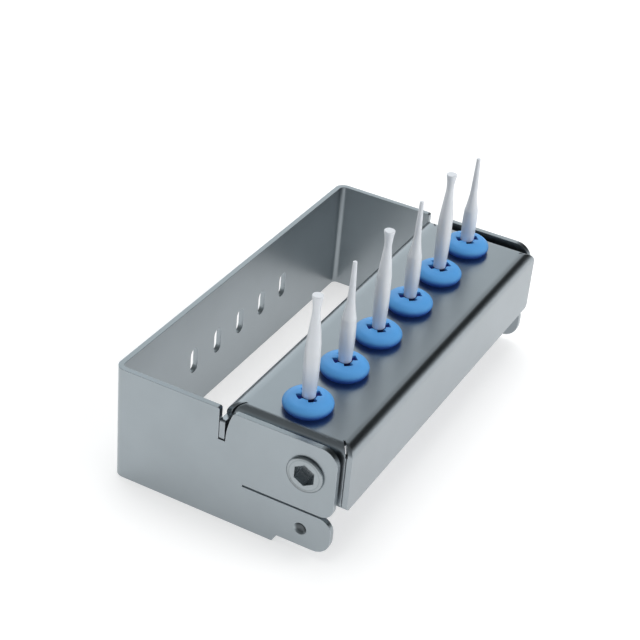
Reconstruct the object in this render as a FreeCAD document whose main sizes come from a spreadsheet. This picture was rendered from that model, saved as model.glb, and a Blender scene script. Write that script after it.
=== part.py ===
"""Swinging dental bur block: a folded steel block for six burs, carried in a steel bail frame.

Millimetres. X runs along the frame, +Z is up and the block stands open towards -Y.
The origin is under the middle of the whole part, on the surface that it stands on.
Every sketch is drawn with the outer face of the frame's back wall at Y = 0, and each
sub-part is then moved back by half the part's depth.
"""

import FreeCAD, Part
import os
import re
import Sketcher

Vector = FreeCAD.Vector
Rotation = FreeCAD.Rotation
Placement = FreeCAD.Placement

# Driving sizes, in millimetres, degrees or pieces
SIZES = {
    # Bail frame: one sheet bent to a U, its arms cut to a slot, a tab and a sprung finger
    "frame_width": 56.0,
    "frame_height": 15.7,
    "frame_sheet": 0.7,
    "frame_bend": 1.35,
    "arm_rear_length": 14.4,
    "arm_corner": 0.3,
    "tab_top_corner": 2.2,
    "tab_low_corner": 1.6,
    "tab_rear_corner": 0.6,
    "slit_length": 11.8,
    "slit_height": 6.0,
    "slit_width": 0.28,
    "finger_top_corner": 1.7,
    "finger_low_corner": 2.2,
    "finger_foot": 1.05,
    "step_slope": 0.6,
    "dimple_radius": 0.82,
    "dimple_depth": 0.45,
    "dimple_height": 3.45,
    "dimple_setback": 0.05,
    "dimple_room": 0.13,
    # Plain openings in the back wall
    "window_count": 5,
    "window_pitch": 5.6,
    "window_width": 1.7,
    "window_height": 3.6,
    "window_middle": 7.4,
    "window_flat": 0.034,
    # Pivot, shared by the arms, the block and the hardware
    "pivot_drop": 4.3,
    "tab_reach": 3.85,
    "shoulder_radius": 1.75,
    "running_gap": 0.05,
    "washer_room": 0.8,
    "washer_radius": 2.6,
    "head_radius": 2.36,
    "head_height": 0.3,
    "head_round": 0.2,
    "socket_flats": 2.5,
    "socket_depth": 1.3,
    "thread_radius": 1.2,
    "thread_end": 0.3,
    "nut_flats": 4.0,
    "nut_height": 1.5,
    # Bur block: one sheet folded down on four sides
    "block_sheet": 0.7,
    "block_bend": 1.2,
    "block_overhang": 1.0,
    "block_height": 8.5,
    "block_drop": 0.1,
    "block_gap": 0.1,
    "wall_corner": 0.6,
    "seam_width": 0.12,
    "relief_width": 0.24,
    "relief_reach": 1.36,
    "relief_slope": 0.79,
    "ear_height": 2.7,
    "ear_corner": 0.3,
    "sweep_gap": 0.15,
    "finger_gap": 0.3,
    "step_gap": 0.25,
    # Silicone grommets, snapped into the block's top
    "bur_count": 6,
    "row_margin": 4.625,
    "row_shift": 0.2,
    "grommet_radius": 3.04,
    "grommet_height": 1.65,
    "grommet_neck": 2.0,
    "grommet_foot": 2.45,
    "grommet_foot_height": 1.0,
    "grommet_foot_taper": 0.35,
    "grommet_bore_gap": 0.05,
    "bore_taper": 0.15,
    "lip_inset": 0.3,
    "rim_low": 0.55,
    "rim_high": 1.1,
    "rim_inset": 0.12,
    "shoulder_inset": 0.85,
    "shoulder_drop": 0.04,
    "crown_inset": 0.9,
    "grommet_round": 0.39,
    "notch_middle": 1.1,
    "notch_radius": 0.45,
    "notch_turn": 44.0,
    # Burs
    "shank_radius": 0.8,
    "shank_end": 0.15,
    "bur_seat": 4.35,
    "last_bur_seat": 5.75,
    "bulge_start": 0.1,
    "bulge_rise": 0.1,
    "bulge_end_radius": 0.88,
    "flared_bulge_length": 7.1,
    "flared_taper_length": 4.0,
    "flared_neck_radius": 0.46,
    "flare_length": 1.95,
    "flare_rise": 0.05,
    "flared_head_radius": 0.66,
    "flared_rim": 0.22,
    "pointed_bulge_length": 5.65,
    "pointed_shoulder_length": 2.9,
    "pointed_shoulder_rise": 0.05,
    "pointed_neck_radius": 0.45,
    "pointed_length": 4.7,
    "pointed_tip_radius": 0.25,
    "rim_round": 0.08,
    # How far a cut runs on past the sheet that it goes through
    "overrun": 1.0,
}

# Rules that several sub-parts share
PIVOT_HEIGHT = "(frame_height - pivot_drop)"
EAR_INNER = f"({PIVOT_HEIGHT} + finger_gap - finger_foot)"
EAR_BOTTOM = f"({PIVOT_HEIGHT} + running_gap)"
BLOCK_REAR = "(arm_rear_length + block_gap)"
PIVOT_DEPTH = f"({BLOCK_REAR} + block_sheet + {EAR_INNER})"
ARM_LENGTH = f"({PIVOT_DEPTH} + tab_reach)"
FRONT = f"({ARM_LENGTH} + block_overhang)"
ROW_DEPTH = f"(({BLOCK_REAR} + {FRONT}) / 2 - row_shift)"
FLANGE = "(frame_width / 2 - frame_sheet - washer_room)"
BLOCK_TOP = "(frame_height - block_drop)"
BLOCK_BOTTOM = "(frame_height - block_drop - block_height)"
FIRST_BUR = f"(row_margin - {FLANGE})"
BUR_PITCH = f"(-2 * {FIRST_BUR} / (bur_count - 1))"

doc = FreeCAD.newDocument("bur_block")
sheet = doc.addObject("Spreadsheet::Sheet", "Sizes")
for row, (name, size) in enumerate(SIZES.items(), start=1):
    sheet.set(f"A{row}", name)
    sheet.set(f"B{row}", str(size))
    sheet.setAlias(f"B{row}", name)
doc.recompute()


def rule(words):
    """Turns a rule written with size names into an expression on the sheet's cells."""
    return re.sub(r"[a-z_]+", lambda m: f"Sizes.{m[0]}" if m[0] in SIZES else m[0], words)


def value(words):
    """Works a rule out from the sheet."""
    return float(sheet.evalExpression(rule(words)))


def bind(thing, **rules):
    """Binds properties of a feature to rules; a double underscore stands for a dot."""
    for name, words in rules.items():
        thing.setExpression(name.replace("__", "."), rule(words))


def start_body(label):
    """Starts a sub-part, moved back so that the origin is under the part's middle."""
    body = doc.addObject("PartDesign::Body", label)
    body.Label = label
    bind(body, Placement__Base__y=f"{FRONT} / 2")
    return body


def origin_part(body, role):
    """Finds one of a body's own axes or planes."""
    return next(f for f in body.Origin.OriginFeatures if f.Role == role)


def sketch_on(body, name, plane, offset="0"):
    """Starts a sketch on one of the body's planes, moved along the plane's normal."""
    sketch = body.newObject("Sketcher::SketchObject", name)
    sketch.AttachmentSupport = [(origin_part(body, plane), "")]
    sketch.MapMode = "FlatFace"
    bind(sketch, AttachmentOffset__Base__z=offset)
    return sketch


def hold(sketch, curve, end, across, up):
    """Holds a point of a sketch at the place that two rules give."""
    for kind, words in (("DistanceX", across), ("DistanceY", up)):
        item = sketch.addConstraint(Sketcher.Constraint(kind, -1, 1, curve, end, value(words)))
        sketch.setExpression(f"Constraints[{item}]", rule(words))


def add_outline(sketch, corners):
    """Draws a closed outline and holds each corner by its two rules.

    A third rule makes the run to the next corner an arc that rises by it to the right
    of the direction of travel, or to the left where the fourth item is -1.
    """
    first = sketch.GeometryCount
    places = [Vector(value(corner[0]), value(corner[1]), 0) for corner in corners]
    ends = []
    for number, corner in enumerate(corners):
        start, finish = places[number], places[(number + 1) % len(places)]
        if len(corner) == 2:
            sketch.addGeometry(Part.LineSegment(start, finish), False)
            ends.append((1, 2))
            continue
        side = corner[3] if len(corner) > 3 else 1
        run = finish - start
        across_run = Vector(run.y, -run.x, 0).normalize()
        middle = (start + finish) / 2 + across_run * value(corner[2]) * side
        arc = Part.Arc(start, middle, finish) if side > 0 else Part.Arc(finish, middle, start)
        sketch.addGeometry(arc, False)
        ends.append((1, 2) if side > 0 else (2, 1))
    for number, corner in enumerate(corners):
        before = (number - 1) % len(corners)
        curve = first + number
        sketch.addConstraint(Sketcher.Constraint(
            "Coincident", first + before, ends[before][1], curve, ends[number][0]))
        hold(sketch, curve, ends[number][0], corner[0], corner[1])
    for number, corner in enumerate(corners):
        if len(corner) > 2:
            following = corners[(number + 1) % len(corners)]
            chord = f"(({following[0]} - ({corner[0]})) ^ 2 + ({following[1]} - ({corner[1]})) ^ 2)"
            radius = f"({chord} / 4 + ({corner[2]}) ^ 2) / (2 * ({corner[2]}))"
            bend = first + number
            item = sketch.addConstraint(Sketcher.Constraint("Radius", bend, value(radius)))
            sketch.setExpression(f"Constraints[{item}]", rule(radius))


def add_circle(sketch, across, up, radius):
    """Draws a circle held by rules for its centre and radius."""
    centre = Vector(value(across), value(up), 0)
    item = sketch.addGeometry(Part.Circle(centre, Vector(0, 0, 1), value(radius)), False)
    hold(sketch, item, 3, across, up)
    size = sketch.addConstraint(Sketcher.Constraint("Radius", item, value(radius)))
    sketch.setExpression(f"Constraints[{size}]", rule(radius))


def rectangle(left, right, low, high):
    """Gives the corners of a rectangle in the order that add_outline wants."""
    return [(left, low), (right, low), (right, high), (left, high)]


def pad(body, name, sketch, length, side="One side", reverse=False):
    """Thickens a sketch by a rule's length."""
    feature = body.newObject("PartDesign::Pad", name)
    feature.Profile = sketch
    feature.SideType = side
    feature.Reversed = reverse
    bind(feature, Length=length)
    doc.recompute()
    return feature


def pocket(body, name, sketch, length="", side="One side", reverse=False):
    """Cuts a sketch into the body, right through where no length is given."""
    before = body.Tip.Shape.Volume
    feature = body.newObject("PartDesign::Pocket", name)
    feature.Profile = sketch
    feature.SideType = side
    feature.Reversed = reverse
    feature.Type = "Length" if length else "ThroughAll"
    if side == "Symmetric":
        feature.Type2 = feature.Type
    if length:
        bind(feature, Length=length)
    doc.recompute()
    if body.Tip.Shape.Volume > before - 1e-4:
        raise ValueError(f"{body.Label}: {name} cuts nothing")
    return feature


def edges_along(shape, axis, places):
    """Names the straight edges along an axis whose other two coordinates match a place."""
    others = [i for i in range(3) if i != axis]
    names = []
    for number, edge in enumerate(shape.Edges, start=1):
        ends = [vertex.Point for vertex in edge.Vertexes]
        if len(ends) != 2 or edge.Curve.TypeId != "Part::GeomLine":
            continue
        if any(abs(ends[0][i] - ends[1][i]) > 1e-5 for i in others):
            continue
        for place in places:
            if all(abs(ends[0][i] - place[k]) < 1e-4 for k, i in enumerate(others)):
                names.append(f"Edge{number}")
    return names


def ring_edges(shape, places):
    """Names the full circles about the Z axis at the given radii and heights."""
    names = []
    for number, edge in enumerate(shape.Edges, start=1):
        if edge.Curve.TypeId != "Part::GeomCircle":
            continue
        for radius, height in places:
            near = abs(edge.Curve.Radius - radius) < 1e-4
            if near and abs(edge.Curve.Center.z - height) < 1e-4:
                names.append(f"Edge{number}")
    return names


def fillet(body, name, edges, radius):
    """Rounds the named edges of the body as it stands."""
    if not edges:
        raise ValueError(f"{body.Label}: {name} finds no edge")
    feature = body.newObject("PartDesign::Fillet", name)
    feature.Base = (feature.BaseFeature, edges)
    bind(feature, Radius=radius)
    doc.recompute()
    return feature


def across_arms(*rules):
    """Gives the Y and Z of edges that run along X, from pairs of rules for depth and height."""
    return [(-value(depth), value(height)) for depth, height in rules]


def make_frame():
    """The bail frame: back wall and two arms, each with an ear slot, a tab and a finger."""
    body = start_body("bail_frame")
    step = f"({PIVOT_DEPTH} - ear_height - running_gap - step_gap)"

    side = sketch_on(body, "side_outline", "YZ_Plane")
    add_outline(side, [
        ("0", "0"),
        (f"step_slope - {step}", "0"),
        (f"-{step}", "finger_foot"),
        (f"-{ARM_LENGTH}", "finger_foot"),
        (f"-{ARM_LENGTH}", "frame_height"),
        ("0", "frame_height"),
    ])
    pad(body, "blank", side, "frame_width", side="Symmetric")

    inside = sketch_on(body, "inside_outline", "XY_Plane")
    half = "(frame_width / 2 - frame_sheet)"
    add_outline(inside, rectangle(f"-{half}", half, f"-{ARM_LENGTH} - overrun", "-frame_sheet"))
    pocket(body, "inside", inside, reverse=True)

    # Slot for the block's ear: its front edge is an arc about the pivot
    slot = sketch_on(body, "ear_slot_outline", "YZ_Plane")
    reach = f"({EAR_INNER} - sweep_gap)"
    climb = "(pivot_drop + overrun)"
    cosine = f"sqrt(1 - {climb} ^ 2 / {reach} ^ 2)"
    rise = f"({reach} * (1 - sqrt((1 + {cosine}) / 2)))"
    add_outline(slot, [
        ("-arm_rear_length", PIVOT_HEIGHT),
        (f"{reach} - {PIVOT_DEPTH}", PIVOT_HEIGHT, rise),
        (f"{reach} * {cosine} - {PIVOT_DEPTH}", "frame_height + overrun"),
        ("-arm_rear_length", "frame_height + overrun"),
    ])
    pocket(body, "ear_slot", slot, side="Symmetric")

    slit = sketch_on(body, "slit_outline", "YZ_Plane")
    add_outline(slit, rectangle(
        f"-{ARM_LENGTH} - overrun", f"slit_length - {ARM_LENGTH}",
        "slit_height", "slit_height + slit_width"))
    pocket(body, "slit", slit, side="Symmetric")

    bore = sketch_on(body, "pivot_bore_outline", "YZ_Plane")
    add_circle(bore, f"-{PIVOT_DEPTH}", PIVOT_HEIGHT, "shoulder_radius + running_gap")
    pocket(body, "pivot_bore", bore, side="Symmetric")

    tab_rear = f"({PIVOT_DEPTH} - sqrt({reach} ^ 2 - pivot_drop ^ 2))"
    corners = (
        ("tab_top_corners", "tab_top_corner", ARM_LENGTH, "frame_height"),
        ("tab_low_corners", "tab_low_corner", ARM_LENGTH, "slit_height + slit_width"),
        ("tab_rear_corners", "tab_rear_corner", tab_rear, "frame_height"),
        ("finger_top_corners", "finger_top_corner", ARM_LENGTH, "slit_height"),
        ("finger_low_corners", "finger_low_corner", ARM_LENGTH, "finger_foot"),
        ("rear_corners", "arm_corner", "arm_rear_length", "frame_height"),
    )
    for name, radius, depth, height in corners:
        edges = edges_along(body.Tip.Shape, 0, across_arms((depth, height)))
        fillet(body, name, edges, radius)

    half_out = value("frame_width / 2")
    edges = edges_along(body.Tip.Shape, 2, [(-half_out, 0), (half_out, 0)])
    fillet(body, "outer_bends", edges, "frame_bend")
    half_in, wall = value(half), value("-frame_sheet")
    edges = edges_along(body.Tip.Shape, 2, [(-half_in, wall), (half_in, wall)])
    fillet(body, "inner_bends", edges, "frame_bend - frame_sheet")

    # Detent dimples, pressed inwards near the fingers' tips
    middle = f"(dimple_setback - {PIVOT_DEPTH})"
    made = []
    ball = "((dimple_radius ^ 2 + dimple_depth ^ 2) / (2 * dimple_depth))"
    for name, face, kind in (
            ("dimple_bump", half, "PartDesign::Revolution"),
            ("dimple_hollow", "(frame_width / 2)", "PartDesign::Groove")):
        cap = sketch_on(body, f"{name}_outline", "XY_Plane", "dimple_height")
        tip = Vector(value(f"{face} - dimple_depth"), value(middle), 0)
        rim = Vector(value(face), value(f"{middle} + dimple_radius"), 0)
        hub = Vector(value(face), value(middle), 0)
        cap.addGeometry(Part.LineSegment(tip, hub), False)
        cap.addGeometry(Part.LineSegment(hub, rim), False)
        round_centre = Vector(value(f"{face} - dimple_depth + {ball}"), hub.y, 0)
        circle = Part.Circle(round_centre, Vector(0, 0, 1), value(ball))
        cap.addGeometry(Part.ArcOfCircle(circle, circle.parameter(rim), circle.parameter(tip)), False)
        cap.addConstraint(Sketcher.Constraint("Coincident", 0, 2, 1, 1))
        cap.addConstraint(Sketcher.Constraint("Coincident", 1, 2, 2, 1))
        cap.addConstraint(Sketcher.Constraint("Coincident", 2, 2, 0, 1))
        hold(cap, 0, 1, f"{face} - dimple_depth", middle)
        hold(cap, 0, 2, face, middle)
        hold(cap, 1, 2, face, f"{middle} + dimple_radius")
        cap.addConstraint(Sketcher.Constraint("PointOnObject", 2, 3, 0))
        turn = body.newObject(kind, name)
        turn.Profile = cap
        turn.ReferenceAxis = (cap, ["Edge1"])
        turn.Angle = 360
        doc.recompute()
        made.append(turn)
    mirror = body.newObject("PartDesign::Mirrored", "dimples_mirrored")
    mirror.Originals = made
    mirror.MirrorPlane = (origin_part(body, "YZ_Plane"), [""])
    body.Tip = mirror
    doc.recompute()

    # Row of plain round-ended windows in the back wall
    window = sketch_on(body, "window_outline", "XZ_Plane")
    left = "-(window_count - 1) * window_pitch / 2 - window_width / 2"
    add_outline(window, rectangle(
        left, f"{left} + window_width",
        "window_middle - window_height / 2", "window_middle + window_height / 2"))
    first = pocket(body, "window", window, "frame_sheet * 3", side="Symmetric")
    low = value("window_middle - window_height / 2")
    high = value("window_middle + window_height / 2")
    west = value(left)
    east = west + value("window_width")
    row = body.newObject("PartDesign::LinearPattern", "window_row")
    row.Originals = [first]
    row.Direction = (origin_part(body, "X_Axis"), [""])
    bind(row, Length="(window_count - 1) * window_pitch", Occurrences="window_count")
    body.Tip = row
    doc.recompute()
    places = []
    for number in range(int(value("window_count"))):
        shift = number * value("window_pitch")
        places += [(x + shift, z) for x in (west, east) for z in (low, high)]
    edges = edges_along(body.Tip.Shape, 1, places)
    fillet(body, "window_ends", edges, "(window_width - window_flat) / 2")
    return body


def make_block():
    """The bur block: a plate folded down into four walls, with relief cuts at its corners."""
    body = start_body("bur_block")
    rear, front = f"-{BLOCK_REAR}", f"-{FRONT}"
    left, right = f"-{FLANGE}", FLANGE

    plan = sketch_on(body, "block_plan", "XY_Plane", BLOCK_BOTTOM)
    add_outline(plan, rectangle(left, right, front, rear))
    pad(body, "blank", plan, "block_height")
    top, low = value(BLOCK_TOP), value(BLOCK_BOTTOM)
    across = [(y, top) for y in (value(rear), value(front))]
    along = [(x, top) for x in (value(left), value(right))]
    edges = edges_along(body.Tip.Shape, 0, across) + edges_along(body.Tip.Shape, 1, along)
    fillet(body, "outer_bends", edges, "block_bend")

    hollow = sketch_on(body, "hollow_plan", "XY_Plane", BLOCK_BOTTOM)
    add_outline(hollow, rectangle(
        f"{left} + block_sheet", f"{right} - block_sheet",
        f"{front} + block_sheet", f"{rear} - block_sheet"))
    pocket(body, "hollow", hollow, "block_height - block_sheet", reverse=True)
    ceiling = value(f"{BLOCK_TOP} - block_sheet")
    across = [(value(f"{y} block_sheet"), ceiling) for y in (f"{rear} -", f"{front} +")]
    along = [(value(f"{x} block_sheet"), ceiling) for x in (f"{left} +", f"{right} -")]
    edges = edges_along(body.Tip.Shape, 0, across) + edges_along(body.Tip.Shape, 1, along)
    fillet(body, "inner_bends", edges, "block_bend - block_sheet")

    # Seams: the end flanges butt behind the front wall and before the rear wall
    seams = sketch_on(body, "seam_plan", "XY_Plane", BLOCK_BOTTOM)
    for west, east in (
            (f"{left} - overrun", f"{left} + block_sheet"),
            (f"{right} - block_sheet", f"{right} + overrun")):
        add_outline(seams, rectangle(
            west, east, f"{front} + block_sheet", f"{front} + block_sheet + seam_width"))
        add_outline(seams, rectangle(
            west, east, f"{rear} - block_sheet - seam_width", f"{rear} - block_sheet"))
    pocket(body, "seams", seams, "block_height - block_bend", reverse=True)

    # Relief cuts run slantwise from the plate through the bends, each to the top of a seam
    reliefs = sketch_on(body, "relief_plan", "XY_Plane", BLOCK_TOP)
    half = "(relief_width / 2 * sqrt(1 + relief_slope ^ 2))"
    for edge_x, sx in ((left, 1), (right, -1)):
        for edge_y, sy in ((rear, -1), (front, 1)):
            corners = []
            for run, side in (
                    ("relief_reach", -1), ("relief_reach", 1), ("-overrun", 1), ("-overrun", -1)):
                climb = f"block_sheet + seam_width / 2 + {run} * relief_slope"
                corners.append((
                    f"{edge_x} + {sx} * ({run})",
                    f"{edge_y} + {sy} * ({climb}) + {side} * {half}"))
            add_outline(reliefs, corners)
    pocket(body, "corner_reliefs", reliefs, "block_bend")

    places = [(x, low) for x in (value(left), value(right))]
    fillet(body, "wall_corners", edges_along(body.Tip.Shape, 1, places), "wall_corner")

    # Ears: the rear wall's ends reach out to the frame's outer faces and stop the swing
    ears = sketch_on(body, "ear_outline", "XZ_Plane", BLOCK_REAR)
    for inner, outer in ((left, "-frame_width / 2"), (right, "frame_width / 2")):
        add_outline(ears, rectangle(inner, outer, EAR_BOTTOM, f"{EAR_BOTTOM} + ear_height"))
    pad(body, "ears", ears, "block_sheet")
    tips = [(x, z) for x in (value("-frame_width / 2"), value("frame_width / 2"))
            for z in (value(EAR_BOTTOM), value(f"{EAR_BOTTOM} + ear_height"))]
    fillet(body, "ear_corners", edges_along(body.Tip.Shape, 1, tips), "ear_corner")

    holes = sketch_on(body, "grommet_hole_plan", "XY_Plane", BLOCK_TOP)
    add_circle(holes, FIRST_BUR, f"-{ROW_DEPTH}", "grommet_neck")
    first = pocket(body, "grommet_hole", holes, "block_sheet * 2", side="Symmetric")
    row = body.newObject("PartDesign::LinearPattern", "grommet_holes")
    row.Originals = [first]
    row.Direction = (origin_part(body, "X_Axis"), [""])
    bind(row, Length=f"-2 * {FIRST_BUR}", Occurrences="bur_count")
    body.Tip = row
    doc.recompute()

    # Screw holes, and the holes that the frame's dimples meet when the block is shut
    sides = sketch_on(body, "flange_hole_outline", "YZ_Plane")
    add_circle(sides, f"-{PIVOT_DEPTH}", PIVOT_HEIGHT, "thread_radius")
    add_circle(sides, f"{PIVOT_HEIGHT} - dimple_height - {PIVOT_DEPTH}",
               f"{PIVOT_HEIGHT} + dimple_setback", "dimple_radius + dimple_room")
    pocket(body, "flange_holes", sides, side="Symmetric")
    return body


def revolve(body, name, corners):
    """Turns a profile of rules for radius and height about the body's Z axis."""
    sketch = sketch_on(body, f"{name}_profile", "XZ_Plane")
    add_outline(sketch, corners)
    turn = body.newObject("PartDesign::Revolution", name)
    turn.Profile = sketch
    turn.ReferenceAxis = (sketch, ["V_Axis"])
    turn.Angle = 360
    doc.recompute()
    return turn


def place_in_row(body, number, height):
    """Stands a turned sub-part at its hole in the block's top."""
    bind(body,
         Placement__Base__x=f"{FIRST_BUR} + {number} * {BUR_PITCH}",
         Placement__Base__y=f"{FRONT} / 2 - {ROW_DEPTH}",
         Placement__Base__z=height)


def make_grommet(number):
    """A silicone grommet: domed flange, neck in the plate, foot below, notched bore."""
    body = start_body(f"grommet_{number + 1}")
    bore = "(shank_radius + grommet_bore_gap)"
    foot = "(-block_sheet - grommet_foot_height)"
    revolve(body, "turned", [
        (bore, foot),
        ("grommet_foot - grommet_foot_taper", foot),
        ("grommet_foot", "-block_sheet"),
        ("grommet_neck", "-block_sheet"),
        ("grommet_neck", "0"),
        ("grommet_radius - lip_inset", "0"),
        ("grommet_radius", "rim_low"),
        ("grommet_radius - rim_inset", "rim_high"),
        ("grommet_radius - shoulder_inset", "grommet_height - shoulder_drop"),
        ("shank_radius + crown_inset", "grommet_height"),
        (bore, "grommet_height - bore_taper"),
    ])
    rims = ring_edges(body.Tip.Shape, [
        (value("grommet_radius"), value("rim_low")),
        (value("grommet_radius - rim_inset"), value("rim_high")),
    ])
    fillet(body, "rim", rims, "grommet_round")
    notch = sketch_on(body, "notch_plan", "XY_Plane", "grommet_height")
    add_circle(notch, "notch_middle", "0", "notch_radius")
    cut = pocket(
        body, "notch", notch, "grommet_height + block_sheet + grommet_foot_height + overrun")
    ring = body.newObject("PartDesign::PolarPattern", "notches")
    ring.Originals = [cut]
    ring.Axis = (origin_part(body, "Z_Axis"), [""])
    ring.Angle = 360
    ring.Occurrences = 4
    body.Tip = ring
    doc.recompute()
    body.Placement = Placement(Vector(), Rotation(Vector(0, 0, 1), value("notch_turn")))
    place_in_row(body, number, BLOCK_TOP)
    return body


def make_bur(number):
    """A bur: round shank that swells, then a flared head or a long point, in turn."""
    body = start_body(f"bur_{number + 1}")
    shank = "(bur_seat + grommet_height + bulge_start)"
    profile = [
        ("0", "0"),
        ("shank_radius - shank_end", "0"),
        ("shank_radius", "shank_end"),
    ]
    if number % 2 == 0:
        taper = f"({shank} + flared_bulge_length)"
        neck = f"({taper} + flared_taper_length)"
        head = f"({neck} + flare_length)"
        end = f"({head} + flared_rim)"
        profile += [
            ("shank_radius", shank, "bulge_rise"),
            ("bulge_end_radius", taper),
            ("flared_neck_radius", neck, "flare_rise", -1),
            ("flared_head_radius", head),
            ("flared_head_radius", end),
            ("0", end),
        ]
        rim = ("flared_head_radius", end)
    else:
        shoulder = f"({shank} + pointed_bulge_length)"
        neck = f"({shoulder} + pointed_shoulder_length)"
        end = f"({neck} + pointed_length)"
        profile += [
            ("shank_radius", shank, "bulge_rise"),
            ("bulge_end_radius", shoulder, "pointed_shoulder_rise", -1),
            ("pointed_neck_radius", neck),
            ("pointed_tip_radius", end),
            ("0", end),
        ]
        rim = ("pointed_tip_radius", end)
    revolve(body, "turned", profile)
    edge = [(value(rim[0]), value(rim[1]))]
    fillet(body, "rim", ring_edges(body.Tip.Shape, edge), "rim_round")
    seat = "last_bur_seat" if number + 1 == SIZES["bur_count"] else "bur_seat"
    place_in_row(body, number, f"{BLOCK_TOP} - {seat}")
    return body


def place_on_pivot(body, side, distance):
    """Lays a turned sub-part along the pivot, its own +Z pointing out of the frame."""
    body.Placement = Placement(Vector(), Rotation(Vector(0, 1, 0), 90 * side))
    bind(body,
         Placement__Base__x=f"{side} * ({distance})",
         Placement__Base__y=f"{FRONT} / 2 - {PIVOT_DEPTH}",
         Placement__Base__z=PIVOT_HEIGHT)


def hexagon(flats):
    """Gives the corners of a hexagon with two of them on the sketch's first axis."""
    point, half = f"({flats} / sqrt(3))", f"({flats} / 2)"
    return [
        (point, "0"), (f"{point} / 2", half), (f"-{point} / 2", half),
        (f"-{point}", "0"), (f"-{point} / 2", f"-{half}"), (f"{point} / 2", f"-{half}"),
    ]


def make_pivot_screw(name, side):
    """A shoulder screw: the frame's arm turns on its shoulder, its thread holds the flange."""
    body = start_body(f"pivot_screw_{name}")
    shoulder = "(running_gap + frame_sheet + washer_room)"
    end = f"({shoulder} + block_sheet + nut_height + thread_end)"
    revolve(body, "turned", [
        ("0", f"-{end}"),
        ("thread_radius - thread_end / 2", f"-{end}"),
        ("thread_radius", f"thread_end / 2 - {end}"),
        ("thread_radius", f"-{shoulder}"),
        ("shoulder_radius", f"-{shoulder}"),
        ("shoulder_radius", "0"),
        ("head_radius", "0"),
        ("head_radius", "head_height"),
        ("0", "head_height"),
    ])
    edge = [(value("head_radius"), value("head_height"))]
    fillet(body, "head_rim", ring_edges(body.Tip.Shape, edge), "head_round")
    socket = sketch_on(body, "socket_outline", "XY_Plane", "head_height")
    add_outline(socket, hexagon("socket_flats"))
    pocket(body, "socket", socket, "socket_depth")
    place_on_pivot(body, side, "frame_width / 2 + running_gap")
    return body


def make_spacer_washer(name, side):
    """A washer on the screw's shoulder that keeps the block off the frame's arm."""
    body = start_body(f"spacer_washer_{name}")
    ring = sketch_on(body, "washer_plan", "XY_Plane")
    add_circle(ring, "0", "0", "washer_radius")
    add_circle(ring, "0", "0", "shoulder_radius")
    pad(body, "washer", ring, "washer_room - 2 * running_gap")
    place_on_pivot(body, side, FLANGE)
    return body


def make_pivot_nut(name, side):
    """A hexagon nut against the flange's inner face."""
    body = start_body(f"pivot_nut_{name}")
    plan = sketch_on(body, "nut_plan", "XY_Plane")
    add_outline(plan, hexagon("nut_flats"))
    add_circle(plan, "0", "0", "thread_radius")
    pad(body, "nut", plan, "nut_height", reverse=True)
    place_on_pivot(body, side, f"{FLANGE} - block_sheet")
    return body


parts = [make_frame(), make_block()]
for number in range(int(SIZES["bur_count"])):
    parts.append(make_grommet(number))
    parts.append(make_bur(number))
for name, side in (("left", -1), ("right", 1)):
    parts.append(make_pivot_screw(name, side))
    parts.append(make_spacer_washer(name, side))
    parts.append(make_pivot_nut(name, side))

doc.recompute()
for item in doc.Objects:
    if "Invalid" in item.State or "Error" in item.State:
        raise ValueError(f"{item.Label} failed: {item.State}")
for part in parts:
    if part.Shape.isNull() or not part.Shape.isValid() or len(part.Shape.Solids) != 1:
        raise ValueError(f"{part.Label} is not one valid solid")

os.makedirs("parts", exist_ok=True)
for part in parts:
    part.Shape.exportStep(f"parts/{part.Label}.step")
    box = part.Shape.optimalBoundingBox()
    print(f"{part.Label}: {part.Shape.Volume:.2f} mm3, z {box.ZMin:.2f} to {box.ZMax:.2f}")
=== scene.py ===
# %% [markdown]
# # A dental bur block, dressed for its picture
#
# The part is a small steel stand for six burs. A folded block carries them in soft silicone
# rings, and the block swings on two screws between the arms of a bent steel frame. The solid
# model comes from CAD and is already right in shape, so this lesson is mostly about finish:
# satin steel that looks rolled and tumbled, silicone that is smooth but not plastic, and a
# light that makes bends in sheet metal readable. Everything is in metres.

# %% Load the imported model
import math

import bpy
from mathutils import Matrix, Vector


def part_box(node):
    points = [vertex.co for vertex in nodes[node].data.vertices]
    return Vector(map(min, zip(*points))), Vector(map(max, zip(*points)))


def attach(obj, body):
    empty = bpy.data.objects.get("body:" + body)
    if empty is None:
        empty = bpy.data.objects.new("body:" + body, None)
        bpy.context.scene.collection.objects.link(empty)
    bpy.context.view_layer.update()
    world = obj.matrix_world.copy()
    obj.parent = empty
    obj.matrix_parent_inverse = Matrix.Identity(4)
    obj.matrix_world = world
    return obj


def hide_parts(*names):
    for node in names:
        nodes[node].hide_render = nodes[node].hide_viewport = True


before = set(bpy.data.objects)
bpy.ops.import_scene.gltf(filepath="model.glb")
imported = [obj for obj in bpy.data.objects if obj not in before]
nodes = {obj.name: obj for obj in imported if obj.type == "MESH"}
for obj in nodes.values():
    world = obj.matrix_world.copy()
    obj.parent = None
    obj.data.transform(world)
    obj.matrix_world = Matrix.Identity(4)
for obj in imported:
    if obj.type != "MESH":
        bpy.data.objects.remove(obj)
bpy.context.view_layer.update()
MM = 0.001

# %% [markdown]
# ## Where the camera stands
#
# A photograph fixes where its camera stood: lines that are parallel on the part run towards
# vanishing points, and known lengths then give the distance. The numbers below came out of
# such a fit on the frame's and block's straight edges. The camera looks down by about 33
# degrees, from the left of the part, and is rolled a little. One could also aim the camera
# with a Track To constraint, but a rolled camera is easier to state by its three axes.

# %% Camera
CAMERA_PLACE = Vector((-0.155369, -0.072014, 0.122643))
CAMERA_RIGHT = Vector((0.478, -0.875, 0.079))
CAMERA_BACK = Vector((-0.758, -0.366, 0.540))
CAMERA_LENS = 90.39
CAMERA_SENSOR = 36.0


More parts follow.
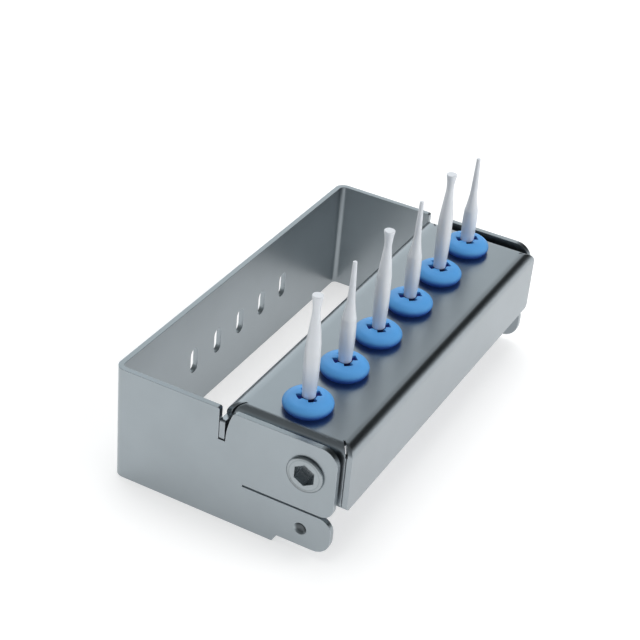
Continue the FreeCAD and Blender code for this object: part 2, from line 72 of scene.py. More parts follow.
def make_camera():
    """Stands the camera on its place and turns it by its right and backward axes."""
    data = bpy.data.cameras.new("camera")
    data.lens = CAMERA_LENS
    data.sensor_width = CAMERA_SENSOR
    data.clip_start = 0.005
    data.clip_end = 20.0
    camera = bpy.data.objects.new("camera", data)
    bpy.context.scene.collection.objects.link(camera)
    back = CAMERA_BACK.normalized()
    up = back.cross(CAMERA_RIGHT).normalized()
    right = up.cross(back)
    turn = Matrix((right, up, back)).transposed().to_4x4()
    camera.matrix_world = Matrix.Translation(CAMERA_PLACE) @ turn
    bpy.context.scene.camera = camera


make_camera()
print("camera looks along", [round(v, 3) for v in -CAMERA_BACK])

# %% [markdown]
# ## Writing node trees as plain sums
#
# Materials, worlds and Geometry Nodes are all graphs of nodes, and a graph is slow to read
# when each link is a line of code. The first class below wraps one socket. Adding or
# multiplying wrapped sockets adds a Math node, or a Vector Math node where a vector takes
# part, and hands back its output. Python's reflected methods are there too, so that
# `1 - mask` works. Every other node comes from one method that takes the node's type, its
# settings and its inputs, in that order, because a node's settings decide its sockets.

# %% Sockets that can be added and multiplied
class Wire:
    """One output socket of a node tree."""

    def __init__(self, sheet, socket):
        self.sheet = sheet
        self.socket = socket

    def math(self, operation, *others):
        """Adds a Math node, or Vector Math where a vector takes part."""
        items = [self, *others]
        vector = any(isinstance(i, Wire) and i.socket.type == "VECTOR" for i in items)
        kind = "ShaderNodeVectorMath" if vector else "ShaderNodeMath"
        return self.sheet.node(kind, {"operation": operation}, dict(enumerate(items)))

    def __add__(self, other):
        return self.math("ADD", other)

    def __radd__(self, other):
        return self.math("ADD", other)

    def __sub__(self, other):
        return self.math("SUBTRACT", other)

    def __rsub__(self, other):
        return self.sheet.number(other, "SUBTRACT", self)

    def __mul__(self, other):
        return self.math("MULTIPLY", other)

    def __rmul__(self, other):
        return self.math("MULTIPLY", other)

    def __truediv__(self, other):
        return self.math("DIVIDE", other)


print("sockets add and multiply")

# %% One way to add any node
class Sheet:
    """A node tree that is written line by line."""

    def __init__(self, tree):
        self.tree = tree
        tree.nodes.clear()

    def node(self, kind, settings, inputs, output=0):
        """Adds a node, makes its settings, then feeds its sockets."""
        made = self.tree.nodes.new(kind)
        for name, setting in settings.items():
            if name == "stops":
                self.set_stops(made.color_ramp, setting)
            else:
                setattr(made, name, setting)
        for name, fed in inputs.items():
            socket = made.inputs[name]
            if isinstance(fed, Wire):
                self.tree.links.new(fed.socket, socket)
            else:
                socket.default_value = fed
        return Wire(self, made.outputs[output]) if made.outputs else made

    def set_stops(self, ramp, stops):
        """Gives a colour ramp its stops, as pairs of position and grey."""
        while len(ramp.elements) > 1:
            ramp.elements.remove(ramp.elements[-1])
        for number, (position, tone) in enumerate(stops):
            stop = ramp.elements[0] if number == 0 else ramp.elements.new(position)
            stop.position = position
            stop.color = (tone, tone, tone, 1.0)

    def number(self, first, operation, second):
        """A Math node whose first input is a plain number."""
        return self.node("ShaderNodeMath", {"operation": operation}, {0: first, 1: second})

    def axis(self, vector, letter):
        """One coordinate of a vector."""
        return self.node("ShaderNodeSeparateXYZ", {}, {"Vector": vector}, letter)

    def ramp(self, fac, stops):
        """A ramp of greys over a mask."""
        return self.node("ShaderNodeValToRGB", {"stops": stops}, {"Fac": fac})

    def step(self, value, start, end):
        """A mask that goes smoothly from 0 at start to 1 at end."""
        return self.node("ShaderNodeMapRange", {"interpolation_type": "SMOOTHSTEP"}, {
            "Value": value, "From Min": start, "From Max": end})

    def blend(self, fac, first, second, way="MIX"):
        """Mixes two colours by a mask."""
        settings = {"data_type": "RGBA", "blend_type": way}
        return self.node("ShaderNodeMix", settings, {"Factor": fac, 6: first, 7: second}, 2)


print("the sheet writes any node")

# %% A material as a sheet
class Paint(Sheet):
    """A material, with the few nodes that every finish here uses."""

    def __init__(self, name):
        self.material = bpy.data.materials.new(name)
        self.material.use_nodes = True
        super().__init__(self.material.node_tree)
        self.place = self.node("ShaderNodeTexCoord", {}, {}, "Object")

    def noise(self, scale, detail=2.0, roughness=0.5, place=None):
        """Fractal noise from 0 to 1, in features per metre."""
        return self.node("ShaderNodeTexNoise", {}, {
            "Vector": place or self.place, "Scale": scale,
            "Detail": detail, "Roughness": roughness})

    def stretch(self, sizes):
        """Object coordinates, scaled by one factor for each axis."""
        return self.node("ShaderNodeMapping", {}, {"Vector": self.place, "Scale": sizes})

    def bump(self, height, distance, strength=1.0, under=None):
        """A height, times a distance in metres, turned into a bent normal."""
        inputs = {"Height": height, "Distance": distance, "Strength": strength}
        if under:
            inputs["Normal"] = under
        return self.node("ShaderNodeBump", {}, inputs, "Normal")

    def finish(self, **sockets):
        """Adds the Principled shader and the output; underscores stand for spaces."""
        fed = {name.replace("_", " "): item for name, item in sockets.items()}
        shader = self.node("ShaderNodeBsdfPrincipled", {}, fed)
        self.node("ShaderNodeOutputMaterial", {}, {"Surface": shader})
        return self.material


print("a paint is a sheet with a material")

# %% [markdown]
# ## Satin stainless steel
#
# The real sheet is stainless steel that was tumbled after folding, so it mirrors the room
# softly, with no brush marks that the eye can count. Three things make that look: cloudy
# patches where the finish is a little smoother, a grain so fine that it only breaks up the
# reflections, and cut edges that tumbling has rounded and smoothed. A Bevel node gives that
# last part: it looks for edges within a radius and returns a rounded normal, and where this
# differs from the true one there is an edge, whose colour is made lighter as a painted glint.
# A steel may also get a crown, which bends its normal, and a mask that paints shade into
# hollows, making them darker. A flat grey with roughness 0.4 would also be called satin, but
# it looks like paint.

# %% Steel finish
EDGE_ROUND = 0.09 * MM
CLOUDS_PER_METRE = 110.0
GRAINS_PER_METRE = (1500.0, 4200.0, 4200.0)
GRAIN_HEIGHT = 0.0002 * MM
# The patch factors vary the tone at random; the edge factor is a painted glint, the hollow
# factor a painted shade.
DARK_PATCH, LIGHT_PATCH, EDGE_GLINT, HOLLOW_SHADE = 0.96, 1.04, 1.5, 0.3


def shade_of(tone, factor):
    """A tone times a factor, with full alpha."""
    return tuple(min(1.0, c * factor) for c in tone) + (1.0,)


def steel(name, tone, roughness, crown=None, hollow=None):
    """Satin steel with cloudy patches, a fine grain, rounded edges with a painted glint and
    painted shade in hollows.
    """
    paint = Paint(name)
    clouds = paint.noise(CLOUDS_PER_METRE, 3.0, 0.55)
    grain = paint.noise(1.0, 3.0, 0.6, paint.stretch(GRAINS_PER_METRE))
    patches = paint.ramp(clouds, [(0.32, 0.0), (0.68, 1.0)])

    rounded = paint.node("ShaderNodeBevel", {"samples": 4}, {"Radius": EDGE_ROUND})
    true = paint.node("ShaderNodeNewGeometry", {}, {}, "Normal")
    meet = paint.node("ShaderNodeVectorMath", {"operation": "DOT_PRODUCT"}, {
        0: rounded, 1: true}, "Value")
    edge = paint.step(meet, 0.995, 0.80)

    sheet = paint.blend(patches, shade_of(tone, DARK_PATCH), shade_of(tone, LIGHT_PATCH))
    # Painted glint: edges are painted lighter than the flat sheet.
    colour = paint.blend(edge, sheet, shade_of(tone, EDGE_GLINT))
    # Painted shade: where a hollow mask is given, the colour goes darker there.
    if hollow:
        colour = paint.blend(hollow(paint), colour, shade_of(tone, HOLLOW_SHADE))
    gloss = roughness + (clouds - 0.5) * 0.05 + (grain - 0.5) * 0.02 - edge * 0.08
    under = crown(paint, rounded) if crown else rounded
    return paint.finish(
        Base_Color=colour, Metallic=1.0, Roughness=gloss,
        Normal=paint.bump(grain, GRAIN_HEIGHT, 0.5, under))


print("a steel has a tone, a roughness, and may have a crown and hollows")

# %% [markdown]
# ## The dimples in the latch fingers
#
# The two pressed dimples are painted darker on their hollow side, as painted shade. Their
# mask is the distance to a dimple's middle, times the depth below the arm's outer face. It
# reads the distance from the part's middle plane without its sign, so one mask serves both
# arms.

# %% Frame finish, with painted shade in the dimples
FRAME_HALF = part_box("bail_frame")[1].x
DIMPLE_Y, DIMPLE_Z = -10.43 * MM, 3.45 * MM
DIMPLE_RADIUS = 0.82 * MM
DIMPLE_DEPTHS = (0.05 * MM, 0.3 * MM)
BACK_OF_DIMPLE = (0.6 * MM, 0.5 * MM)
FRAME_TONE, FRAME_ROUGHNESS = (0.335, 0.373, 0.397), 0.32


def dimple_shade(paint):
    """A mask of painted shade over the hollow side of each pressed dimple."""
    across = paint.axis(paint.place, "Y") - DIMPLE_Y
    up = paint.axis(paint.place, "Z") - DIMPLE_Z
    out = (across * across + up * up).math("SQRT")
    below = FRAME_HALF - paint.axis(paint.place, "X").math("ABSOLUTE")
    # Painted shade: darker inside each dimple, below the arm's outer face.
    deep = paint.step(below, *DIMPLE_DEPTHS) * paint.step(below, *BACK_OF_DIMPLE)
    return deep * paint.step(out, DIMPLE_RADIUS, DIMPLE_RADIUS * 0.9)


frame_finish = steel("satin_frame_steel", FRAME_TONE, FRAME_ROUGHNESS, hollow=dimple_shade)
print("frame steel made")

# %% [markdown]
# ## The block's crowned top
#
# When a plate is folded down on all four sides, the folds pull on it and its middle stays
# a little proud. The crown is less than a tenth of a millimetre, too little to model, but a
# satin surface shows it at once: the reflections slide as the surface tilts, and the front
# strip goes darker than the rear one. A Bump node whose height is a parabola across the
# plate tilts the reflections by the same degree. The folds along the front and the rear do
# not start at a line either: the plate begins to roll over a little before them, which is a
# second, steeper parabola. Both curves are given per metre, as one over their radius.

# %% Crown of the folded plate
PLATE_LOW, PLATE_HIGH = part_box("bur_block")
PLATE_ROW = (PLATE_LOW.y + PLATE_HIGH.y) / 2
CROWN_CURVE = 2.5
ROLL_CURVE = 150.0
ROLL_START = (PLATE_HIGH.y - PLATE_LOW.y) / 2 - 1.9 * MM
BLOCK_TONE, BLOCK_ROUGHNESS = (0.335, 0.37, 0.395), 0.31


def plate_crown(paint, under):
    """Bends the normal as on a plate that bulges, and rolls over before its long folds."""
    across = paint.axis(paint.place, "Y") - PLATE_ROW
    beyond = (across.math("ABSOLUTE") - ROLL_START).math("MAXIMUM", 0.0)
    bulge = across * across * (CROWN_CURVE / 2 / MM)
    roll = beyond * beyond * (ROLL_CURVE / 2 / MM)
    return paint.bump((bulge + roll) * -1.0, MM, 1.0, under)


block_finish = steel("satin_block_steel", BLOCK_TONE, BLOCK_ROUGHNESS, plate_crown)
print("block steel made, plate middle at y", round(PLATE_ROW, 5))

# %% [markdown]
# ## Turned screws
#
# A screw's head is turned on a lathe, so its marks are circles about its own axis. The
# distance from the pivot axis comes from two Object coordinates, and a noise that reads only
# this distance makes the circles. It also paints a thin dark line of painted shade where the
# face ends and the chamfer begins, and tilts the normal beyond it. The pressed socket is a
# deep hole that mirrors little but itself and would go black, so a mask of this distance and
# the depth below the head's face makes its walls a little lighter.

# %% Screw finish
HEAD_LOW, HEAD_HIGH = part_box("pivot_screw_left")
HEAD_FACE = abs(HEAD_LOW.x)
PIVOT = (HEAD_LOW + HEAD_HIGH) / 2
MARKS_PER_METRE, MARK_HEIGHT = 16000.0, 0.002 * MM
HEAD_CHAMFER = 1.93 * MM
CHAMFER_SLOPE = 0.35
CHAMFER_LINE = 0.07 * MM
SOCKET_DEPTHS = (0.2 * MM, 1.1 * MM)
SOCKET_EDGE = (1.6 * MM, 1.45 * MM)
HEAD_TONES = ((0.325, 0.362, 0.382, 1.0), (0.355, 0.39, 0.408, 1.0))
SOCKET_TONE = (0.38, 0.41, 0.43, 1.0)
CHAMFER_SHADE_TONE = (0.20, 0.22, 0.23, 1.0)


def turned_steel():
    """Steel with turning marks about the pivot axis, a chamfer with a painted shade line and a
    lighter socket.
    """
    paint = Paint("turned_screw_steel")
    depth = paint.axis(paint.place, "Y") - PIVOT.y
    height = paint.axis(paint.place, "Z") - PIVOT.z
    out = (depth * depth + height * height).math("SQRT")
    ring = paint.node("ShaderNodeCombineXYZ", {}, {"X": out})
    marks = paint.noise(MARKS_PER_METRE, 2.0, 0.6, ring)
    specks = paint.noise(2500.0)
    below = HEAD_FACE - paint.axis(paint.place, "X").math("ABSOLUTE")
    socket = paint.step(below, *SOCKET_DEPTHS) * paint.step(out, *SOCKET_EDGE)
    tone = paint.blend(specks, *HEAD_TONES)
    tone = paint.blend(socket, tone, SOCKET_TONE)
    # Painted shade: a thin dark line where the face meets the chamfer.
    line = paint.step(out, HEAD_CHAMFER - CHAMFER_LINE, HEAD_CHAMFER) * paint.step(
        out, HEAD_CHAMFER + CHAMFER_LINE, HEAD_CHAMFER)
    tone = paint.blend(line * 0.6, tone, CHAMFER_SHADE_TONE)
    rounded = paint.node("ShaderNodeBevel", {"samples": 4}, {"Radius": EDGE_ROUND})
    chamfer = (HEAD_CHAMFER - out).math("MINIMUM", 0.0) * (CHAMFER_SLOPE / MM)
    turned = paint.bump(chamfer, MM, 1.0, rounded)
    return paint.finish(
        Base_Color=tone, Metallic=1.0, Roughness=0.26 + (marks - 0.5) * 0.12,
        Normal=paint.bump(marks, MARK_HEIGHT, 0.5, turned))


screw_finish = turned_steel()
print("screw steel made, heads stand at x", round(HEAD_FACE, 5))

# %% [markdown]
# ## Burs
#
# The burs are slim steel tools: a plain shank that swells above the ring, and a working end
# that is dusted with fine grit. They look frosted, almost like pale glass, because a blasted
# skin scatters light more than it mirrors. So the shader is only partly metallic, with a
# soft gloss on top. The grit is a bump that starts above the shank: a mask on the height
# fades it in. A second mask paints shade on the short length that stands inside the ring,
# where the silicone keeps the light away, and a third paints the lowest few millimetres above
# the ring pale blue, a painted reflection of the light that the silicone throws on them.

# %% Bur finish
RING_NAMES = sorted(name for name in nodes if name.startswith("grommet"))
RING_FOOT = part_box(RING_NAMES[0])[0].z
RING_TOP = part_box(RING_NAMES[0])[1].z
TURNS_PER_METRE = (500.0, 500.0, 9000.0)
GRITS_PER_METRE, GRIT_HEIGHT = 9000.0, 0.008 * MM
GRIT_START = RING_TOP + 7.0 * MM
GRIT_FULL = GRIT_START + 1.2 * MM
REFLECTION_TOP, REFLECTION_FULL = RING_TOP + 6.0 * MM, RING_TOP + 0.5 * MM
BUR_TONES = ((0.72, 0.75, 0.79, 1.0), (0.79, 0.81, 0.84, 1.0))
BLUE_REFLECTION_TONE = (0.70, 0.785, 0.92, 1.0)
HELD_TONE = (0.020, 0.024, 0.075, 1.0)


def bur_steel():
    """Pale ground steel, with grit on the working end, painted shade in the ring and a painted
    blue reflection above it.
    """
    paint = Paint("pale_bur_steel")
    turning = paint.noise(1.0, 2.0, 0.6, paint.stretch(TURNS_PER_METRE))
    wear = paint.noise(900.0, 3.0, 0.5)
    grit = paint.node("ShaderNodeTexVoronoi", {}, {
        "Vector": paint.place, "Scale": GRITS_PER_METRE})
    level = paint.axis(paint.place, "Z")
    working = paint.step(level, GRIT_START, GRIT_FULL)
    # Painted shade on the length inside the ring, where the light cannot reach.
    held = paint.step(level, RING_FOOT - 0.1 * MM, RING_FOOT) * paint.step(
        level, RING_TOP, RING_TOP - 0.15 * MM)
    # Painted reflection: the blue light of the silicone, painted on the shank above the ring.
    near = paint.step(level, REFLECTION_TOP, REFLECTION_FULL)
    colour = paint.blend(wear, *BUR_TONES)
    colour = paint.blend(near, colour, BLUE_REFLECTION_TONE)
    colour = paint.blend(held, colour, HELD_TONE)
    height = turning * 0.3 * (1.0 - working) + grit * working
    return paint.finish(
        Base_Color=colour, Metallic=0.25, Roughness=0.40 + (wear - 0.5) * 0.1 + working * 0.08,
        Normal=paint.bump(height, GRIT_HEIGHT, 0.35))


bur_finish = bur_steel()
print("bur steel made, grit starts at z", round(GRIT_START, 5))

# %% [markdown]
# ## Silicone
#
# Each ring is moulded in sky-blue silicone. It is opaque at this thickness, with a broad soft
# sheen and a faint mottle from the mould. Low on the rim, towards its foot, the colour is
# painted a darker, deeper blue as painted shade. Deep inside the bore hardly any light gets
# out again, and what does has seeped through the silicone, so the openings round the bur look
# navy. The renderer would need many bounces to find that by itself, so a mask that reads the
# distance to the nearest ring's axis and the depth below the ring's top helps it: it paints
# the bore's walls with navy shade and a faint painted glow, wherever the part is seen from.

# %% Where the rings stand
RING_BOXES = [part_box(name) for name in RING_NAMES]
RING_PLACES = sorted(((low + high) / 2).x for low, high in RING_BOXES)
RING_ROW = (RING_BOXES[0][0].y + RING_BOXES[0][1].y) / 2
RING_PITCH = RING_PLACES[1] - RING_PLACES[0]
RING_RADIUS = (RING_BOXES[0][1].y - RING_BOXES[0][0].y) / 2
PLATE_TOP = PLATE_HIGH.z
PLATE_THICK = 0.7 * MM
SKINS_PER_METRE, SKIN_HEIGHT = 9000.0, 0.006 * MM
RIM_SHADE_START, RIM_SHADE_FULL = PLATE_TOP + 1.0 * MM, PLATE_TOP + 0.3 * MM
SLIT_DEPTHS = (0.12 * MM, 0.4 * MM)
SLIT_EDGE = (1.75 * MM, 1.65 * MM)
SKIN_TONES = ((0.085, 0.315, 0.68, 1.0), (0.104, 0.355, 0.73, 1.0))
RIM_SHADE_TONE = (0.05, 0.165, 0.68, 1.0)
SLIT_TONE = (0.015, 0.025, 0.10, 1.0)
SLIT_GLOW = (0.008, 0.013, 0.085, 1.0)
BLACK = (0.0, 0.0, 0.0, 1.0)
print("rings are", round(RING_RADIUS * 2000, 2), "mm wide, every", round(RING_PITCH * 1000, 2))


# %% Silicone finish
def distance_to_bore(paint):
    """How far a point is from the axis of the ring that it belongs to, in metres."""
    steps = (paint.axis(paint.place, "X") - RING_PLACES[0]) * (1.0 / RING_PITCH)
    along = (steps - steps.math("ROUND")) * RING_PITCH
    across = paint.axis(paint.place, "Y") - RING_ROW
    return (along * along + across * across).math("SQRT")


def silicone():
    """Soft blue silicone with a faint mottle, painted shade low on the rim and navy painted
    shade and glow in the slits.
    """
    paint = Paint("blue_silicone")
    mottle = paint.noise(700.0, 3.0, 0.55)
    skin = paint.noise(SKINS_PER_METRE)
    colour = paint.blend(mottle, *SKIN_TONES)
    level = paint.axis(paint.place, "Z")
    # Painted shade: the lower rim goes darker and deeper blue.
    rim = paint.step(level, RIM_SHADE_START, RIM_SHADE_FULL)
    colour = paint.blend(rim, colour, RIM_SHADE_TONE)
    below = RING_TOP - level
    # Painted shade and a faint painted glow in the bore's slits.
    slit = paint.step(below, *SLIT_DEPTHS) * paint.step(distance_to_bore(paint), *SLIT_EDGE)
    colour = paint.blend(slit, colour, SLIT_TONE)
    return paint.finish(
        Base_Color=colour, Roughness=0.45 + (mottle - 0.5) * 0.1, IOR=1.41,
        Emission_Color=paint.blend(slit, BLACK, SLIT_GLOW), Emission_Strength=1.0,
        Normal=paint.bump(skin, SKIN_HEIGHT, 0.4))


silicone_finish = silicone()
print("silicone made")

# %% [markdown]
# ## Geometry Nodes, written down
#
# A Geometry Nodes tree is a recipe that Blender runs as a modifier. Written in Python it has
# the same sheet as a material, plus named inputs. Each input gets an identifier when it is
# made, and the modifier is fed by that identifier. At the end the result is copied into a
# plain mesh and the modifier goes, because a plain mesh is what every other program reads.

# %% Geometry trees
class Recipe(Sheet):
    """A Geometry Nodes tree with named inputs."""

    def __init__(self, name):
        super().__init__(bpy.data.node_groups.new(name, "GeometryNodeTree"))
        self.values = {}
        face = self.tree.interface
        face.new_socket("Geometry", in_out="INPUT", socket_type="NodeSocketGeometry")
        face.new_socket("Geometry", in_out="OUTPUT", socket_type="NodeSocketGeometry")
        self.enter = self.tree.nodes.new("NodeGroupInput")
        self.leave = self.tree.nodes.new("NodeGroupOutput")

    def base(self):
        """The geometry of the object that the recipe is run on."""
        return Wire(self, self.enter.outputs["Geometry"])

    def given(self, name, kind, value):
        """Adds a named input with its value."""
        socket = self.tree.interface.new_socket(
            name, in_out="INPUT", socket_type=f"NodeSocket{kind}")
        self.values[socket.identifier] = value
        return Wire(self, self.enter.outputs[name])

    def close(self, geometry, finish):
        """Ends the tree: instances become real, and get their material."""
        material = self.given("Finish", "Material", finish)
        real = self.node("GeometryNodeRealizeInstances", {}, {"Geometry": geometry})
        done = self.node("GeometryNodeSetMaterial", {}, {
            "Geometry": real, "Material": material})
        self.tree.links.new(done.socket, self.leave.inputs["Geometry"])

    def run(self, name, base):
        """Runs the recipe on a mesh and gives back a new object with a plain mesh."""
        worker = bpy.data.objects.new(f"{name}_worker", base)
        bpy.context.scene.collection.objects.link(worker)
        modifier = worker.modifiers.new(name, "NODES")
        modifier.node_group = self.tree
        for identifier, value in self.values.items():
            modifier[identifier] = value
        graph = bpy.context.evaluated_depsgraph_get()
        mesh = bpy.data.meshes.new_from_object(worker.evaluated_get(graph))
        mesh.name = name
        bpy.data.objects.remove(worker)
        piece = bpy.data.objects.new(name, mesh)
        bpy.context.scene.collection.objects.link(piece)
        return piece


print("recipes have named inputs")

# %% [markdown]
# ## A row of six silicone rings
#
# All six rings are one moulding, pressed into six holes, so they are drawn once. The section
# is a closed Bezier curve through half of a ring: bore, foot under the plate, neck in the
# plate, fat rounded rim and an almost flat crown that rolls over into the bore. Its vector
# handles keep corners sharp and its automatic ones make the round rim. One could spin it, and
# cut the four lobes of the bore with a Boolean modifier. Here a grid is wrapped instead: one
# side of the grid runs round the axis, the other along the section, and the lobes are a rule
# that pushes the bore's wall outwards at four angles, to wedges with a flat end. A rule never
# fails on a bad intersection, and its sizes stay sliders.

# %% Section of a ring
BORE = 0.85 * MM
NECK = 2.0 * MM
FOOT = 2.45 * MM
FOOT_TIP = 2.1 * MM
FOOT_TOP = -PLATE_THICK
FOOT_LOW = RING_FOOT - PLATE_TOP
CROWN = RING_TOP - PLATE_TOP
SECTION = (
    (BORE, FOOT_LOW, "VECTOR"),
    (FOOT_TIP, FOOT_LOW, "VECTOR"),
    (FOOT, FOOT_TOP, "VECTOR"),
    (NECK, FOOT_TOP, "VECTOR"),
    (NECK, 0.0, "VECTOR"),
    (RING_RADIUS - 0.30 * MM, 0.0, "VECTOR"),
    (RING_RADIUS, CROWN * 0.38, "AUTO"),
    (RING_RADIUS - 0.38 * MM, CROWN * 0.77, "AUTO"),
    (RING_RADIUS - 1.05 * MM, CROWN * 0.96, "AUTO"),
    (BORE + 0.45 * MM, CROWN, "AUTO"),
    (BORE + 0.05 * MM, CROWN - 0.06 * MM, "AUTO"),
    (BORE, CROWN - 0.20 * MM, "VECTOR"),
)


def draw_section(corners):
    """A closed Bezier curve through a ring's section, as a mesh of edges."""
    curve = bpy.data.curves.new("ring_section", "CURVE")
    curve.dimensions = "3D"
    curve.resolution_u = 10
    spline = curve.splines.new("BEZIER")
    spline.bezier_points.add(len(corners) - 1)
    for point, (out, up, kind) in zip(spline.bezier_points, corners):
        point.co = (out, 0.0, up)
        point.handle_left_type = point.handle_right_type = kind
    spline.use_cyclic_u = True
    drawn = bpy.data.objects.new("ring_section", curve)
    bpy.context.scene.collection.objects.link(drawn)
    graph = bpy.context.evaluated_depsgraph_get()
    mesh = bpy.data.meshes.new_from_object(drawn.evaluated_get(graph))
    bpy.data.objects.remove(drawn)
    return mesh


section = draw_section(SECTION)
print("section has", len(section.vertices), "points")

# %% Recipe of the ring row
ring_recipe = Recipe("ring_row")
count = ring_recipe.given("Rings", "Int", len(RING_NAMES))
first = ring_recipe.given("First place", "Vector", (RING_PLACES[0], RING_ROW, PLATE_TOP))
pitch = ring_recipe.given("Pitch", "Vector", (RING_PITCH, 0.0, 0.0))
around = ring_recipe.given("Steps around", "Int", 104)
along = ring_recipe.given("Steps along section", "Int", 84)
lobes = ring_recipe.given("Lobes", "Float", 4.0)
lobe_reach = ring_recipe.given("Lobe reach", "Float", 1.45 * MM)
lobe_spread = ring_recipe.given("Lobe half angle", "Float", math.radians(24.0))
turn = ring_recipe.given("Turn", "Float", math.radians(-44.0))
jitter = ring_recipe.given("Turn spread", "Float", math.radians(4.0))
print("ring recipe has", len(ring_recipe.values), "inputs")


# %% One ring, wrapped from a grid
CORNER_POWER = 6.0
CORNER_CUT = 0.1
WELD = 0.002 * MM


def wrap_ring(sheet):
    """A grid wrapped round the axis along the section, with the bore pushed out in lobes."""
    outline = sheet.node("GeometryNodeMeshToCurve", {}, {"Mesh": sheet.base()})
    grid = sheet.node("GeometryNodeMeshGrid", {}, {
        "Size X": 1.0, "Size Y": 1.0, "Vertices X": around, "Vertices Y": along})
    where = sheet.node("GeometryNodeInputPosition", {}, {})
    share = sheet.axis(where, "Y") + 0.5
    angle = (sheet.axis(where, "X") + 0.5) * math.tau
    spot = sheet.node("GeometryNodeSampleCurve", {"mode": "FACTOR"}, {
        "Curves": outline, "Factor": share}, "Position")
    out, up = sheet.axis(spot, "X"), sheet.axis(spot, "Z")

    share_of_turn = angle * lobes / math.tau
    off = (share_of_turn - share_of_turn.math("ROUND")) * math.tau / lobes
    aside = off.math("ABSOLUTE") / lobe_spread
    corner = aside.math("POWER", CORNER_POWER) * CORNER_CUT
    reach = (lobe_reach / off.math("COSINE")) * (1.0 - corner)
    inside = aside.math("LESS_THAN", 1.0)
    wall = out.math("MAXIMUM", reach * inside)

    wrapped = sheet.node("ShaderNodeCombineXYZ", {}, {
        "X": wall * angle.math("COSINE"), "Y": wall * angle.math("SINE"), "Z": up})
    ring = sheet.node("GeometryNodeSetPosition", {}, {"Geometry": grid, "Position": wrapped})
    return sheet.node("GeometryNodeMergeByDistance", {}, {"Geometry": ring, "Distance": WELD})


ring = wrap_ring(ring_recipe)
print("one ring wrapped")


# %% Smooth where it is round, sharp where it is cut
SHARP_EDGE = 0.9


def shade(sheet, geometry):
    """Smooth shading that stops at edges sharper than about 50 degrees."""
    geometry = sheet.node("GeometryNodeSetShadeSmooth", {}, {
        "Geometry": geometry, "Shade Smooth": True})
    bend = sheet.node("GeometryNodeInputMeshEdgeAngle", {}, {}, "Unsigned Angle")
    soft = bend.math("LESS_THAN", SHARP_EDGE)
    return sheet.node("GeometryNodeSetShadeSmooth", {"domain": "EDGE"}, {
        "Geometry": geometry, "Shade Smooth": soft})


ring = shade(ring_recipe, ring)
row = ring_recipe.node("GeometryNodeMeshLine", {}, {
    "Count": count, "Start Location": first, "Offset": pitch})
spread = ring_recipe.node("FunctionNodeRandomValue", {"data_type": "FLOAT"}, {
    2: -1.0, 3: 1.0, "Seed": 7}, 1)
facing = ring_recipe.node("ShaderNodeCombineXYZ", {}, {"Z": turn + spread * jitter})
rings = ring_recipe.node("GeometryNodeInstanceOnPoints", {}, {
    "Points": row, "Instance": ring, "Rotation": facing})
ring_recipe.close(rings, silicone_finish)
silicone_rings = ring_recipe.run("silicone_rings", section)
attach(silicone_rings, "block")
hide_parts(*RING_NAMES)
print("rings have", len(silicone_rings.data.polygons), "faces")

# %% [markdown]
# ## Dressing the CAD nodes
#
# The steel nodes keep the shape that CAD gave them and only get their finish. The table goes
# from a node's full name, or the first word of it, to a material, so that a new bur or
# washer would be dressed without another line.

# %% Finishes for the steel nodes
FINISHES = {
    "bail_frame": frame_finish, "bur_block": block_finish, "bur": bur_finish,
    "grommet": silicone_finish, "pivot": screw_finish, "spacer": screw_finish,
}


def finish_for(name):
    """The finish of a CAD node, by its full name or by its first word."""
    return FINISHES.get(name) or FINISHES[name.split("_")[0]]


for name, node in nodes.items():
    node.data.materials.clear()
    node.data.materials.append(finish_for(name))
print("every CAD node has a finish")

# %% [markdown]
# ## The floor
#
# Product pictures of small steel parts are often taken on a lit white table. A pale floor
# that glows by itself about as much as it scatters does the same: the contact shadows stay
# faint, and the upright walls mirror an even white instead of their own shadow.

# %% Floor
FLOOR_HALF = 3.0
FLOOR_TONES = [(0.0, 0.59), (1.0, 0.61)]
FLOOR_GLOW = 0.53


def make_floor(half):
    """A pale floor that reaches half its width to each side, too far for its edge to show."""
    mesh = bpy.data.meshes.new("floor")
    corners = [(-half, -half, 0.0), (half, -half, 0.0), (half, half, 0.0), (-half, half, 0.0)]
    mesh.from_pydata(corners, [], [(0, 1, 2, 3)])
    floor = bpy.data.objects.new("floor", mesh)
    bpy.context.scene.collection.objects.link(floor)
    paint = Paint("pale_floor")
    tone = paint.ramp(paint.noise(3.0), FLOOR_TONES)
    mesh.materials.append(paint.finish(
        Base_Color=tone, Roughness=0.9, Emission_Color=(1.0, 1.0, 1.0, 1.0),
        Emission_Strength=FLOOR_GLOW))


make_floor(FLOOR_HALF)
print("floor made")

# %% [markdown]
# ## The room and the lamps
#
# Steel has no colour of its own to show, only the room, so the room is the most important
# light. Here it is a dark one with a soft pale wall behind the part, to the right. The top
# plate mirrors that wall, the folds turn away from it and go dark, and that is what makes
# them look folded. Three dimmer walls stand where the near fold and the other views mirror
# them, and each wall is a ramp on the cosine of the angle to one direction. A light skirting
# above the horizon lets the white floor fade out softly. The lamps light the silicone, the
# burs and the floor, and the floor lights the steel. They are hidden from glossy rays,
# because a lamp mirrored in the plate would be a hard white patch.

# %% Room
def direction(azimuth, elevation):
    """A unit vector from an azimuth, counted from +X towards +Y, and an elevation."""
    a, e = math.radians(azimuth), math.radians(elevation)
    return (math.cos(a) * math.cos(e), math.sin(a) * math.cos(e), math.sin(e))


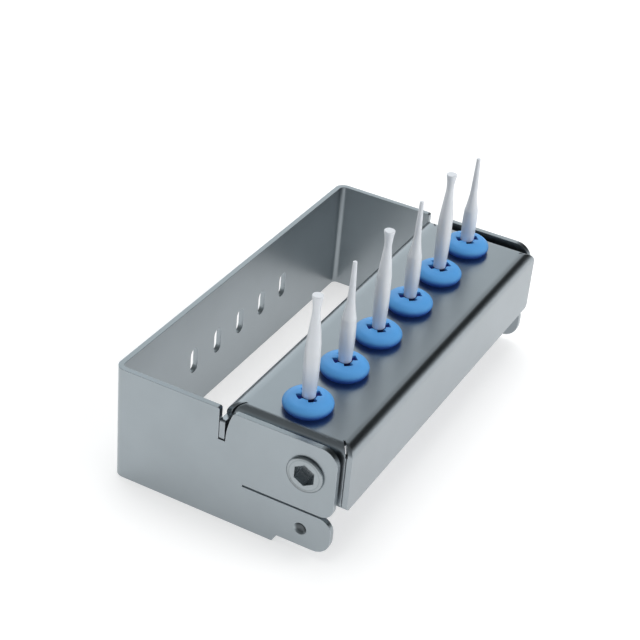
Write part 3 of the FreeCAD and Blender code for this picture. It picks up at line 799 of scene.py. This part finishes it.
WALLS = (
    (44, 12, [
        (0.20, 0.01), (0.60, 0.03), (0.72, 0.09), (0.81, 0.44), (0.87, 0.97), (1.0, 1.0)]),
    (140, 55, [(0.40, 0.0), (0.95, 0.16)]),
    (170, 10, [(0.20, 0.0), (0.72, 0.15), (1.0, 0.36)]),
    (-110, 15, [(0.45, 0.0), (0.80, 0.22), (1.0, 0.40)]),
)
SKIRTING = [(0.0, 0.50), (0.10, 0.28), (0.28, 0.0)]
ROOM_TINT = (0.95, 1.0, 1.02, 1.0)
ROOM_STRENGTH = 1.3


def make_room():
    """A dark room with soft pale walls and a light skirting."""
    world = bpy.data.worlds.new("studio")
    world.use_nodes = True
    bpy.context.scene.world = world
    room = Sheet(world.node_tree)
    look = room.node("ShaderNodeTexCoord", {}, {}, "Generated")
    tone = room.ramp(room.axis(look, "Z"), SKIRTING)
    for azimuth, elevation, stops in WALLS:
        towards = room.node("ShaderNodeVectorMath", {"operation": "DOT_PRODUCT"}, {
            0: look, 1: direction(azimuth, elevation)}, "Value")
        tone = room.blend(1.0, tone, room.ramp(towards, stops), "LIGHTEN")
    tone = room.blend(1.0, tone, ROOM_TINT, "MULTIPLY")
    light = room.node("ShaderNodeBackground", {}, {"Color": tone, "Strength": ROOM_STRENGTH})
    room.node("ShaderNodeOutputWorld", {}, {"Surface": light})


make_room()
print("room made")

# %% Lamps
CENTRE = (0.0, 0.0, 0.01)
LAMPS = (
    ("overhead", (0.06, 0.05, 0.60), (0.50, 0.50), 2.3),
    ("side_fill", (0.16, -0.40, 0.32), (0.40, 0.30), 1.15),
)


def make_lamp(name, place, size, power):
    """A soft rectangular lamp at a place, aimed at the part and hidden from glossy rays."""
    data = bpy.data.lights.new(name, "AREA")
    data.shape = "RECTANGLE"
    data.size, data.size_y = size
    data.energy = power
    lamp = bpy.data.objects.new(name, data)
    bpy.context.scene.collection.objects.link(lamp)
    lamp.location = place
    lamp.rotation_euler = (Vector(CENTRE) - Vector(place)).to_track_quat("-Z", "Y").to_euler()
    lamp.visible_glossy = False


for lamp in LAMPS:
    make_lamp(*lamp)
bpy.context.scene.view_settings.view_transform = "Standard"
print(len(LAMPS), "lamps made")
